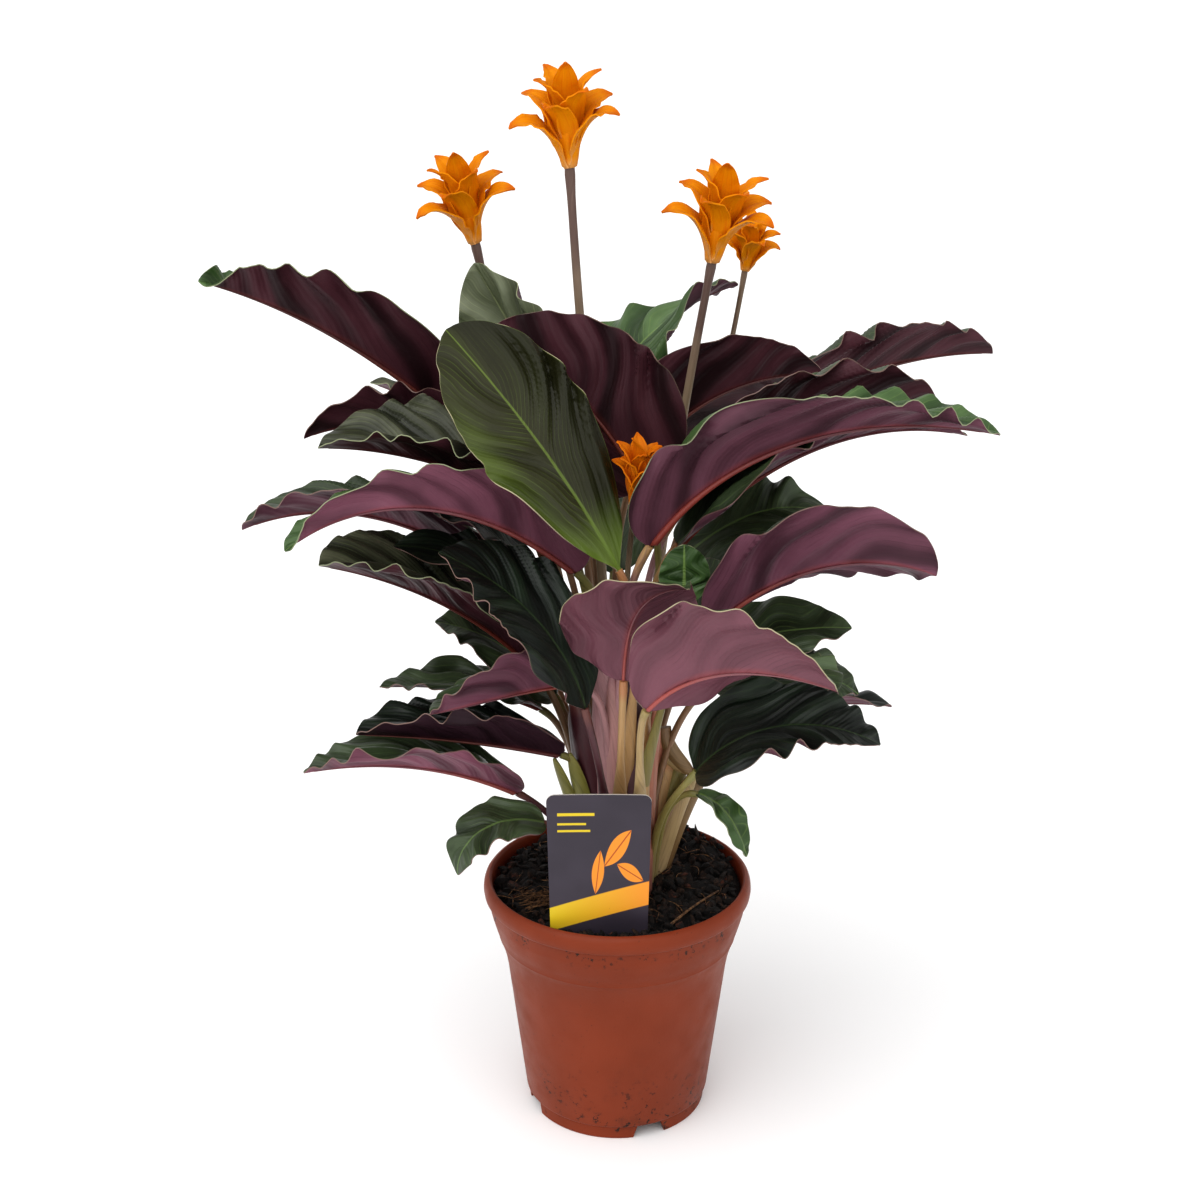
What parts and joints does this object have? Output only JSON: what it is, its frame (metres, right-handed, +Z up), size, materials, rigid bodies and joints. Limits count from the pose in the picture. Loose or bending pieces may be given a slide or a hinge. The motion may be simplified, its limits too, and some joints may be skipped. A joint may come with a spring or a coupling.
{
  "type": "potted plant",
  "caption": "Potted prayer plant: folded, wavy-edged leaves with purple undersides, orange flower heads on tall stalks, a plant tag and a terracotta-coloured nursery pot.",
  "frame": {"origin": "middle of the pot's foot, on the surface that it stands on", "axes": "+Z up along the pot's axis, -Y towards the front, which the plant tag faces, +X to the right seen from the front"},
  "size_m": [0.3996, 0.2969, 0.5362],
  "materials": {
    "pot_plastic": "satin",
    "soil": "rough, crumbly",
    "tag_card": "printed, slight sheen",
    "stalk": "smooth, faintly ribbed",
    "leaf": "satin above, velvety below",
    "bract": "waxy"
  },
  "bodies": {
    "root": {"pot": "pot_plastic", "soil": "soil", "plant_tag": "tag_card", "stalk_clump": "stalk", "leaf_high_left": "leaf", "leaf_high_right": "leaf", "leaf_front_broad": "leaf", "leaf_top_centre": "leaf", "leaf_back_left_top": "leaf", "leaf_back_right_top": "leaf", "leaf_back_middle_top": "leaf", "leaf_right_back_top": "leaf", "leaf_right_high": "leaf", "leaf_right_front_broad": "leaf", "leaf_right_under": "leaf", "leaf_right_green": "leaf", "leaf_right_middle": "leaf", "leaf_right_shade": "leaf", "leaf_centre_young": "leaf", "leaf_front_left_pink": "leaf", "leaf_front_right_pink": "leaf", "leaf_right_low_shade": "leaf", "leaf_right_low": "leaf", "leaf_right_low_back": "leaf", "leaf_right_drooping": "leaf", "leaf_left_low": "leaf", "leaf_left_drooping": "leaf", "leaf_left_low_dark": "leaf", "leaf_left_low_middle": "leaf", "leaf_left_low_back": "leaf", "leaf_left_front_curled": "leaf", "leaf_left_front_dark": "leaf", "leaf_left_middle_low": "leaf", "leaf_left_middle_back": "leaf", "leaf_left_middle": "leaf", "leaf_left_shade": "leaf", "leaf_left_upper_front": "leaf", "leaf_left_upper_back": "leaf", "leaf_left_far_tip": "leaf", "leaf_left_green": "leaf", "leaf_behind_high": "leaf", "leaf_behind_left": "leaf", "leaf_behind_right": "leaf", "leaf_behind_low": "leaf", "bloom_tall": "bract", "bloom_left": "bract", "bloom_right": "bract", "bloom_far": "bract", "bloom_low": "bract"}
  },
  "joints": []
}
